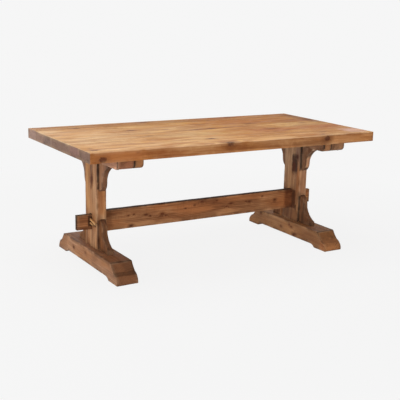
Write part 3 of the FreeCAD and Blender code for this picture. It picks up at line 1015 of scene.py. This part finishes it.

# %% [markdown]
# ## Knots, stained patches and painted light on a piece
# A knot, a stained patch or a patch of painted light or shade is given in millimetres, as it would
# be measured with a rule. A patch changes all the tones of the wood under it, its warm and dark
# tones with it, so that rings and streaks still show through.

# %% Tools to put knots, stained patches and painted light on a piece
warm_share, deep_share = (0.96, 0.88, 0.76), (0.76, 0.66, 0.56)


def metres(lengths):
    """Millimetres turned into metres."""
    return [length / 1000 for length in lengths]


def shade(tone, shares):
    """A darker kin of a colour, by a share for red, green and blue."""
    return [value * share for value, share in zip(tone, shares)]


def set_knots(wood, where, place, knots, strewn_share):
    """Core, halo and swell of a piece's own knots, with those that chance strews."""
    core, halo, swell = 0.0, 0.0, 0.0
    for centre, size, darkness in knots:
        root = wood.place_group(knot, Place=where, Centre=metres(centre), Size=metres(size),
                                Darkness=darkness)
        core = wood.calc("MAXIMUM", core, root["Core"])
        halo = wood.calc("MAXIMUM", halo, root["Halo"])
        swell = wood.calc("ADD", swell, root["Swell"])
    chance = wood.place_group(strewn, Place=place, Share=strewn_share)
    core = wood.calc("MAXIMUM", core, chance["Core"])
    return core, wood.calc("MAXIMUM", halo, chance["Halo"]), swell


def tones_under_stains_and_light(wood, where, tones, stains_and_painted_light):
    """The pale, warm, dark and end tones of a wood, with its patches of colour, real and of painted
    light and shade, laid over each.
    """
    tones = [dye(*tone) for tone in tones]
    for centre, half_size, softness, share, tone in stains_and_painted_light:
        soft = softness if isinstance(softness, tuple) else (softness,) * 3
        spot = wood.place_group(stain_and_light_patch, Place=where, Centre=metres(centre),
                                Half_Size=metres(half_size), Softness=metres(soft))
        amount = wood.times(spot["Mask"], share)
        over = (tone, shade(tone, warm_share), shade(tone, deep_share), tone)
        tones = [wood.blend(amount, under, dye(*top)) for under, top in zip(tones, over)]
    return tones


print("a warm tone beside 200, 150, 100:", shade((200, 150, 100), warm_share))

# %% [markdown]
# ## One wood for each piece
# Every piece has a material of its own, so that no two boards share their rings. The recipe turns
# object coordinates so that the grain runs along X, shifts the heart of the tree away from the
# piece, and places the groups. The faces that look along the grain are end grain.

# %% The recipe for a wood
grain_turns = {"X": (0, 0, 0), "Y": (0, 0, -math.pi / 2), "Z": (0, math.pi / 2, 0)}
grain_ways = {"X": (1, 0, 0), "Y": (0, 1, 0), "Z": (0, 0, 1)}
knot_tone, grime_tone, plain_end = (84, 42, 22), (52, 32, 20), (140, 112, 98)
rub_strength = 0.2
bump_strength, bump_distance = 0.5, 0.0009
dull_range, end_dullness = 0.16, 0.12


def make_wood(name, grain, heart, tones, knots=(), stains_and_painted_light=(), ring_width=0.005, bend=0.02,
              rings_at=0.45, streaks_at=0.8, specks_at=1.0, strewn_share=0.35, arris_dirt=0.3,
              gloss=0.6, shine=0.2):
    """A wood with its own grain, heart and tones: pale, warm, dark and end wood, in that order."""
    material = bpy.data.materials.new(name)
    material.use_nodes = True
    wood = Finish(material.node_tree)
    shader = wood.tree.nodes["Principled BSDF"]
    where = wood.add("TexCoord", out="Object")
    place = wood.add("Mapping", Vector=where, Rotation=grain_turns[grain], Location=heart)
    core, halo, swell = set_knots(wood, where, place, knots, strewn_share)
    ring = wood.place_group(rings, Place=place, Ring_Width=ring_width, Bend=bend, Swell=swell)
    fibre = wood.place_group(fibres, Place=place)
    old = wood.place_group(age, Place=place)
    along = wood.calc_place("DOT_PRODUCT", where.node.outputs["Normal"], grain_ways[grain])
    end_mask = wood.spread(wood.calc("ABSOLUTE", along), 0.35, 0.6)
    worn = wood.add("Attribute", attribute_name="edge_wear", out="Fac")
    patches = wood.cloud(where, (14, 14, 14))
    dirty = wood.times(wood.spread(patches, 0.35, 0.6), worn)
    rubbed_pale = wood.times(wood.fade(patches, 0.4, 0.65), worn)
    pale_wood, warm_wood, dark_wood, end_wood = tones_under_stains_and_light(wood, where, tones, stains_and_painted_light)
    coated = wood.place_group(
        coat, Pale_Wood=pale_wood, Warm_Wood=warm_wood, Dark_Wood=dark_wood, End_Wood=end_wood,
        Knot_Wood=dye(*knot_tone), Grime=dye(*grime_tone), Late_Wood=ring["Late Wood"],
        Fine=fibre["Fine"], Streak=fibre["Streak"], Broad=fibre["Broad"],
        Saw_Marks=fibre["Saw Marks"], Halo=halo, Core=core, End=end_mask, Blotch=old["Blotch"],
        Warmth=old["Warmth"], Speck=wood.times(old["Speck"], specks_at),
        Arris_Dirt=wood.times(dirty, arris_dirt), Arris_Rub=wood.times(rubbed_pale, rub_strength),
        Ring_Strength=rings_at, Streak_Strength=streaks_at,
    )
    wood.feed(shader.inputs["Base Color"], coated["Color"])
    shader.inputs["Specular IOR Level"].default_value = shine
    dull = wood.times_plus(old["Dull"], dull_range, gloss - dull_range / 2)
    wood.feed(shader.inputs["Roughness"], wood.times_plus(end_mask, end_dullness, dull))
    relief = wood.add("Bump", Strength=bump_strength, Distance=bump_distance,
                      Height=coated["Depth"])
    wood.feed(shader.inputs["Normal"], relief)
    return material


def dress(piece, finish):
    """Gives a piece its one finish."""
    piece.data.materials.clear()
    piece.data.materials.append(finish)


print("the recipe is ready")

# %% [markdown]
# ## The woods of the top
# The planks are the palest wood on the table, waxed and rubbed by long use: golden, with honey-brown
# streaks. Each has its heart at another place below it. The knots are where they lie on the real
# top. Most patches are parts that the sun, hands or dirt have tinted, and some are painted light:
# painted sheen over the paler left part, a painted reflection at the far right corner, painted shade
# on the near edge and a painted highlight along its upper arris.

# %% Knots of the planks
# Centre and size in millimetres, and darkness
top_knots = {
    "plank_1": [
        ((-105, -466, 766), (34, 22, 24), 1.0), ((-915, -404, 770), (26, 13, 15), 0.8),
        ((-900, -478, 730), (26, 12, 18), 1.0), ((599, -478, 750), (26, 14, 18), 1.0),
        ((658, -354, 770), (34, 14, 15), 0.5),
    ],
    "plank_2": [((-136, -312.5, 770), (26, 13, 15), 1.0)],
    "plank_3": [((439, -110, 770), (50, 12, 15), 0.6)],
    "plank_4": [
        ((76, 34, 770), (34, 13, 15), 0.9), ((-43, 28, 770), (26, 10, 15), 0.6),
        ((183, 34, 770), (30, 9, 15), 0.5),
    ],
    "plank_5": [
        ((-436, 146, 770), (32, 13, 15), 0.9), ((414, 121, 770), (34, 13, 15), 0.8),
        ((932, 150, 770), (24, 14, 15), 0.8),
    ],
    "plank_6": [((101, 215, 770), (55, 8, 15), 0.5)],
    "plank_7": [
        ((-708, 355, 770), (30, 15, 15), 0.9), ((-208, 437.5, 770), (40, 15, 15), 1.0),
        ((445, 427.5, 770), (34, 14, 15), 0.6),
    ],
}
print(sum(len(rows) for rows in top_knots.values()), "knots in the top")

# %% Stained patches, painted sheen and painted light and shade of the top
# Centre, half size and softness in millimetres, share and tone
top_stains_and_sheen = [
    # Painted sheen on the paler left end of the top
    ((-800, 50, 770), (140, 200, 2), (300, 160, 4), 0.5, (244, 212, 172)),
    ((300, -100, 770), (120, 360, 2), (300, 100, 4), 0.42, (200, 134, 54)),
    ((660, 340, 770), (260, 100, 2), (350, 200, 4), 0.4, (184, 112, 42)),
    ((720, 140, 770), (200, 50, 2), (200, 30, 4), 0.55, (176, 108, 30)),
    # Painted sheen on the paler left middle of the top
    ((-250, -30, 770), (100, 260, 2), (250, 120, 4), 0.35, (234, 200, 156)),
    ((660, -150, 770), (280, 30, 2), (250, 60, 4), 0.45, (188, 108, 64)),
    ((940, 220, 770), (20, 160, 2), (60, 100, 4), 0.5, (112, 68, 32)),
    ((100, 40, 770), (200, 10, 2), (120, 30, 4), 0.4, (150, 92, 46)),
    ((-550, 0, 770), (100, 20, 2), (140, 40, 4), 0.3, (170, 112, 64)),
    ((450, -300, 770), (160, 10, 2), (160, 30, 4), 0.3, (160, 96, 44)),
    # Painted reflection: a pinkish sheen at the far right corner
    ((910, -365, 770), (50, 55, 2), (60, 40, 4), 0.85, (252, 220, 214)),
    # Painted sheen on the near left part of the top
    ((-740, -360, 770), (120, 100, 2), (200, 60, 4), 0.3, (244, 210, 170)),
]
edge_stains_and_shading = [
    # Painted shade: the near edge face of the top is darkened all along
    ((0, -480, 737), (980, 3, 28), 4, 0.62, (166, 98, 50)),
    ((-560, -480, 732), (100, 3, 12), (120, 4, 12), 0.3, (150, 78, 38)),
    ((-800, -480, 738), (100, 3, 20), (80, 4, 12), 0.6, (228, 164, 108)),
    ((-250, -480, 716), (600, 3, 3), (200, 4, 5), 0.4, (214, 148, 84)),
    ((100, -480, 738), (160, 3, 10), (120, 4, 12), 0.3, (130, 74, 40)),
    ((480, -480, 728), (100, 3, 10), (80, 4, 12), 0.45, (112, 62, 34)),
    ((800, -480, 740), (120, 3, 18), (100, 4, 10), 0.5, (226, 166, 110)),
    # Painted highlight along the upper arris of the near edge
    ((0, -477.5, 769), (980, 3, 2), 3, 0.8, (244, 200, 156)),
]
print(len(top_stains_and_sheen) + len(edge_stains_and_shading), "stains on the top")

# %% Dress the planks
# Pale, warm, dark and end wood, and the heart of the tree, from the near plank to the far one
plank_woods = [
    (((230, 189, 133), (222, 173, 105), (172, 111, 57), (137, 108, 94)), (0.3, 0.45, -0.62)),
    (((224, 182, 120), (216, 161, 93), (167, 107, 53), (150, 115, 104)), (1.7, 0.22, -0.66)),
    (((212, 173, 110), (202, 148, 80), (158, 100, 46), (142, 113, 99)), (2.9, 0.02, -0.6)),
    (((224, 184, 123), (213, 163, 94), (165, 110, 53), (142, 113, 99)), (4.2, -0.03, -0.64)),
    (((217, 174, 110), (205, 150, 82), (159, 103, 49), (150, 124, 112)), (5.1, -0.18, -0.61)),
    (((211, 165, 94), (201, 143, 70), (157, 102, 41), (168, 136, 120)), (6.6, -0.2, -0.67)),
    (((191, 144, 82), (182, 125, 60), (141, 88, 35), (180, 148, 134)), (7.4, -0.47, -0.63)),
]
for node, (tones, heart) in zip(plank_nodes, plank_woods):
    stains_and_painted_light = top_stains_and_sheen + (edge_stains_and_shading if node == "plank_1" else [])
    wood = make_wood(
        "wood_" + node, "X", heart, tones, top_knots[node], stains_and_painted_light, ring_width=0.0045, bend=0.03,
        rings_at=0.55, strewn_share=0.5, arris_dirt=0.12, gloss=0.55, shine=0.12, specks_at=0.5)
    dress(made[node], wood)
print(len(plank_nodes), "planks dressed")

# %% [markdown]
# ## The woods of the trestles
# Below the top the wood is older and browner. The posts are tan with dark streaks, the brackets and
# the ends of the feet are the darkest, and the stretcher is reddish. The wedges are pale new wood,
# because they are the pieces that get replaced. Some patches on the trestles are painted light:
# painted shade beside the front brackets, round the wedges, at the stretcher's ends and top, on a
# foot's top and in the ogee of the feet, and painted light on the fronts and sides of some brackets.

# %% Tones of the trestles
# Pale, warm, dark and end wood by node
trestle_tones = {
    "bearer_left": ((250, 200, 167), (246, 175, 132), (170, 116, 87), (158, 103, 73)),
    "bearer_right": ((180, 132, 98), (170, 112, 74), (118, 74, 48), (173, 127, 91)),
    "batten_left": ((186, 138, 104), (174, 116, 78), (124, 80, 54), (165, 112, 70)),
    "batten_right": ((190, 148, 116), (180, 130, 92), (128, 86, 60), (178, 124, 82)),
    "post_left": ((216, 170, 125), (205, 147, 97), (134, 87, 54), (120, 78, 52)),
    "post_right": ((210, 170, 132), (200, 148, 100), (130, 91, 65), (120, 78, 52)),
    "foot_left": ((191, 145, 111), (181, 128, 87), (124, 82, 55), (134, 87, 56)),
    "foot_right": ((196, 150, 106), (186, 133, 84), (130, 86, 56), (145, 95, 56)),
    "lower_back_bracket_left": ((184, 129, 80), (170, 112, 60), (104, 64, 35), (120, 78, 52)),
    "lower_back_bracket_right": ((175, 121, 77), (161, 105, 58), (99, 60, 34), (120, 78, 52)),
    "lower_front_bracket_left": ((131, 82, 42), (120, 68, 31), (77, 44, 22), (120, 78, 52)),
    "lower_front_bracket_right": ((144, 98, 65), (131, 83, 48), (84, 54, 33), (120, 78, 52)),
    "upper_back_bracket_left": ((170, 143, 130), (158, 123, 97), (101, 74, 60), (120, 78, 52)),
    "upper_back_bracket_right": ((177, 141, 117), (165, 120, 87), (105, 72, 54), (120, 78, 52)),
    "upper_front_bracket_left": ((156, 115, 89), (144, 98, 66), (90, 58, 40), (120, 78, 52)),
    # Paled far beyond the other brackets: painted light on its front
    "upper_front_bracket_right": ((254, 222, 188), (250, 202, 152), (186, 132, 98), (120, 78, 52)),
    "stretcher": ((200, 145, 99), (187, 121, 74), (118, 73, 45), (120, 70, 40)),
    "wedge": ((242, 196, 140), (236, 180, 116), (190, 134, 82), (232, 184, 128)),
}
print(len(trestle_tones), "woods in the trestles")

# %% Knots of the trestles
trestle_knots = {
    "post_left": [((-763.5, -10, 524.5), (20, 14, 24), 1.0)],
    "post_right": [((704.5, -20, 485), (20, 18, 40), 1.0), ((704.5, -56, 556), (20, 11, 16), 0.8)],
    "foot_left": [((-802, 189, 63), (20, 12, 10), 1.0), ((-802, 4, 80), (20, 14, 10), 0.5)],
    "foot_right": [
        ((699, -380, 77), (12, 20, 12), 0.6), ((699, -432, 35), (10, 20, 8), 0.7),
        ((656, -420, 36), (10, 20, 8), 0.7), ((666, 289, 96), (20, 12, 10), 0.8),
        ((666, -46, 90), (20, 10, 8), 0.8), ((666, 44, 58), (20, 16, 10), 0.6),
        ((666, -111, 40), (20, 18, 9), 0.8),
    ],
}
stretcher_front = -12
large_knots = [(-507, 215), (-407, 271), (-294, 265), (-7, 315), (212, 278), (356, 274), (562, 269)]
small_knots = [(-526, 279), (-489, 282), (-376, 262), (-267, 252), (-128, 281), (-62, 295),
               (103, 308), (179, 261), (331, 279), (459, 302)]
trestle_knots["stretcher"] = [
    ((x, stretcher_front, z), size, 0.9)
    for places, size in ((large_knots, (14, 20, 7)), (small_knots, (7, 20, 4)))
    for x, z in places
]
print(sum(len(rows) for rows in trestle_knots.values()), "knots in the trestles")

# %% Stained patches and painted light and shade of the trestles
trestle_stains_and_shading = {
    "post_left": [
        # Painted shade on the strips of the post's front face beside the front brackets, above and
        # below
        ((-758, -89, 565), (6, 3, 86), 4, 0.85, (44, 26, 14)),
        ((-758, -89, 205), (6, 3, 86), 4, 0.7, (84, 48, 26)),
        ((-763.5, 0, 560), (2, 6, 80), (4, 12, 30), 0.6, (86, 52, 32)),
        ((-763.5, 45, 500), (2, 12, 140), (4, 14, 30), 0.45, (226, 190, 140)),
        ((-763.5, -64, 480), (2, 10, 120), (4, 8, 40), 0.4, (232, 190, 154)),
        ((-763.5, -85, 580), (2, 3, 60), (4, 3, 20), 0.7, (56, 34, 20)),
        # Painted shadow of the wedges on the post's outer face
        ((-763.5, -36, 262), (2, 30, 12), (4, 8, 8), 0.7, (70, 38, 20)),
        ((-734, -90, 400), (20, 3, 60), (10, 4, 30), 0.45, (214, 150, 92)),
    ],
    "post_right": [
        ((704.5, 30, 500), (2, 50, 150), (4, 30, 40), 0.5, (210, 176, 140)),
        ((704.5, -70, 400), (2, 10, 60), (4, 10, 50), 0.45, (214, 146, 84)),
        ((704.5, -54, 570), (2, 18, 35), (4, 10, 20), 0.6, (160, 130, 116)),
        ((704.5, -26, 505), (2, 22, 45), (4, 14, 30), 0.85, (52, 36, 28)),
        # Painted shade low on the post's inner face
        ((704.5, 0, 150), (2, 80, 30), (4, 24, 20), 0.55, (120, 78, 48)),
        # Painted shadow of the stretcher on the post's inner face
        ((704.5, -28, 262), (2, 16, 58), (4, 10, 12), 0.75, (92, 50, 28)),
        ((704.5, -54, 206), (2, 4, 16), (4, 4, 8), 0.8, (50, 28, 20)),
        # Painted shade on the strips of the post's front face beside the front brackets, above and
        # below
        ((710, -87, 560), (6.5, 5, 90), (3, 4, 10), 0.92, (36, 20, 10)),
        ((710, -89, 205), (6, 3, 86), 4, 0.85, (44, 26, 14)),
        ((734, -90, 390), (30, 3, 70), (4, 4, 30), 0.6, (228, 184, 154)),
    ],
    "stretcher": [
        # Painted shade at the left end, beside the post
        ((-690, -12, 264), (40, 10, 40), 30, 0.38, (96, 56, 30)),
        # Painted shade at the right end, beside the post
        ((700, -12, 264), (40, 10, 70), 30, 0.65, (96, 44, 24)),
        # Painted shade on the top face, under the table top
        ((0, 6, 329), (700, 30, 2), 3, 0.9, (74, 40, 20)),
        ((-858.5, 6, 268), (2, 30, 50), 4, 0.8, (44, 26, 16)),
        ((-810, 6, 314), (50, 30, 2), 4, 0.7, (70, 46, 20)),
        ((-810, -7, 228), (50, 3, 6), 8, 0.6, (84, 40, 24)),
        # Painted shade round the mouths of the wedge slots on the left tenon
        ((-773, -7, 272), (12, 3, 30), (6, 3, 8), 0.8, (52, 26, 14)),
    ],
    "foot_left": [
        # Painted shade on the foot's top, under the table top
        ((-734, -280, 114), (60, 60, 2), (20, 50, 4), 0.4, (128, 80, 52)),
        ((-802, 100, 70), (3, 160, 40), (4, 60, 20), 0.35, (238, 188, 146)),
    ],
    "foot_right": [
        ((666, 100, 70), (3, 160, 40), (4, 60, 20), 0.3, (232, 184, 136)),
        ((734, -280, 114), (60, 50, 2), (20, 30, 4), 0.5, (182, 150, 138)),
        ((734, -415, 45), (70, 20, 30), 20, 0.4, (234, 156, 98)),
    ],
    # Painted light: the bracket's side face is lighter than its front
    "upper_front_bracket_left": [((-751.5, -130, 560), (2, 60, 100), 4, 0.36, (216, 176, 150))],
    # Painted light: the bracket's side face is lighter than its front
    "lower_front_bracket_left": [((-751.5, -140, 200), (2, 60, 100), 4, 0.35, (178, 124, 74))],
    # Painted shade: the bracket's side face is darker than its pale front
    "upper_front_bracket_right": [((716.5, -130, 560), (2, 60, 100), 4, 0.86, (142, 106, 80))],
    "bearer_left": [((-789, -418, 680), (3, 6, 50), (3, 10, 20), 0.75, (66, 36, 24))],
    "bearer_right": [
        ((789, -418, 680), (3, 6, 50), (4, 10, 20), 0.75, (66, 40, 28)),
        ((702, -418, 680), (8, 4, 40), (4, 10, 20), 0.55, (90, 46, 34)),
    ],
    "batten_left": [((-629, -418, 680), (3, 6, 50), (4, 10, 20), 0.75, (76, 42, 24))],
    "batten_right": [((629, -418, 680), (3, 6, 50), (3, 10, 20), 0.9, (44, 24, 16))],
}
# The painted shade in the crease where a foot's ogee starts, and in its hollow
for side, x, hollow_shade in (("left", -734, 0.65), ("right", 734, 0.2)):
    for way in (-1, 1):
        trestle_stains_and_shading["foot_" + side] += [
            ((x, 346 * way, 114), (70, 2, 3), 4, 0.75, (62, 36, 24)),
            ((x, 402 * way, 57), (70, 10, 4), 9, hollow_shade, (70, 40, 20)),
        ]
# The dark joint between a bearer and its batten, and the dirt along their lower arrises
for side, x in (("left", -685), ("right", 685)):
    for part in ("bearer_", "batten_"):
        trestle_stains_and_shading[part + side] += [
            ((x, 0, 680), (3, 500, 100), 3, 0.95, (48, 28, 18)),
            ((x, -410, 651), (120, 20, 2), 5, 0.6, (70, 40, 24)),
        ]
print(sum(len(rows) for rows in trestle_stains_and_shading.values()), "stains on the trestles")

# %% Dress the trestles
grain_of = {"bearer": "Y", "batten": "Y", "post": "Z", "foot": "Y", "bracket": "Z"}
along_next, beside_next, below_next = 3.7, 0.045, 0.02
heart_below = 0.10
trestle_nodes = [node for node in trestle_tones if node not in ("stretcher", "wedge")]
for number, node in enumerate(trestle_nodes):
    kind = next(part for part in grain_of if part in node)
    middle = sum(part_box(node), Vector()) / 2
    x, y, z = middle
    along, beside, depth = (y, -x, z) if grain_of[kind] == "Y" else (z, y, -x)
    heart = (along_next * number - along, beside_next * (1 + number % 3) - beside,
             heart_below + below_next * (number % 2) - depth)
    wood = make_wood(
        "wood_" + node, grain_of[kind], heart, trestle_tones[node], trestle_knots.get(node, ()),
        trestle_stains_and_shading.get(node, ()), ring_width=0.0042, bend=0.012, gloss=0.68,
        rings_at=0.4 if kind == "foot" else 0.55, streaks_at=0.55 if kind == "foot" else 0.9,
        arris_dirt=0.45 if kind == "post" else 0.6)
    dress(made[node], wood)
print(len(trestle_nodes), "pieces of the trestles dressed")

# %% Dress the stretcher and the wedges
stretcher_wood = make_wood(
    "wood_stretcher", "X", (2.2, 0.12, -0.36), trestle_tones["stretcher"],
    trestle_knots["stretcher"], trestle_stains_and_shading["stretcher"], ring_width=0.0048, bend=0.014,
    strewn_share=0.6, arris_dirt=0.4, gloss=0.66, shine=0.1)
dress(made["stretcher"], stretcher_wood)
next_wedge = 1.9
for number, node in enumerate(sorted(name for name in made if "wedge" in name)):
    low, high = (corner * 1000 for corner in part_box(node))
    x = (low.x + high.x) / 2
    head_y, head_z = (low.y, low.z) if "upper" in node else (high.y, high.z)
    mallet_mark = ((x, head_y, head_z), (20, 2, 30), 2, 0.6, (96, 56, 30))
    wood = make_wood("wood_" + node, "Y", (next_wedge * number, 0.05, -0.2), trestle_tones["wedge"],
                     stains_and_painted_light=[mallet_mark], strewn_share=0, arris_dirt=0.2, specks_at=0.3)
    dress(made[node], wood)
print("stretcher and wedges dressed")

# %% [markdown]
# ## What stays from the CAD model
# The tongues, the loose tenons and the fox wedges lie inside the joints, and the CAD shape is right
# for them. They are raw wood, straight from the saw. The screws under the bearers are dull steel
# that has browned a little in patches.

# %% Dress the hidden joinery and the screws
raw_tone = (206, 172, 128)
raw_wood = make_wood("wood_hidden", "X", (9.1, 0.05, -0.3),
                     (raw_tone, shade(raw_tone, warm_share), (168, 124, 82), plain_end),
                     strewn_share=0, arris_dirt=0.0, specks_at=0.2, gloss=0.8)


def make_old_steel():
    """Dull steel with brown rust in patches."""
    material = bpy.data.materials.new("old_steel")
    material.use_nodes = True
    steel = Finish(material.node_tree)
    inputs = steel.tree.nodes["Principled BSDF"].inputs
    place = steel.calc_place("MULTIPLY", steel.add("TexCoord", out="Object"), (22, 9, 9))
    rust = steel.place_group(age, Place=place)["Blotch"]
    steel.feed(inputs["Base Color"], steel.blend(rust, dye(120, 116, 110), dye(92, 60, 42)))
    steel.feed(inputs["Metallic"], steel.spread(rust, 0.2, 0.8, 0.95, 0.1))
    steel.feed(inputs["Roughness"], steel.spread(rust, 0.0, 1.0, 0.42, 0.85))
    return material


old_steel = make_old_steel()
for name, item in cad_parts.items():
    if name not in made:
        dress(item, old_steel if name.startswith("screws") else raw_wood)
        print(name, "keeps its CAD shape")
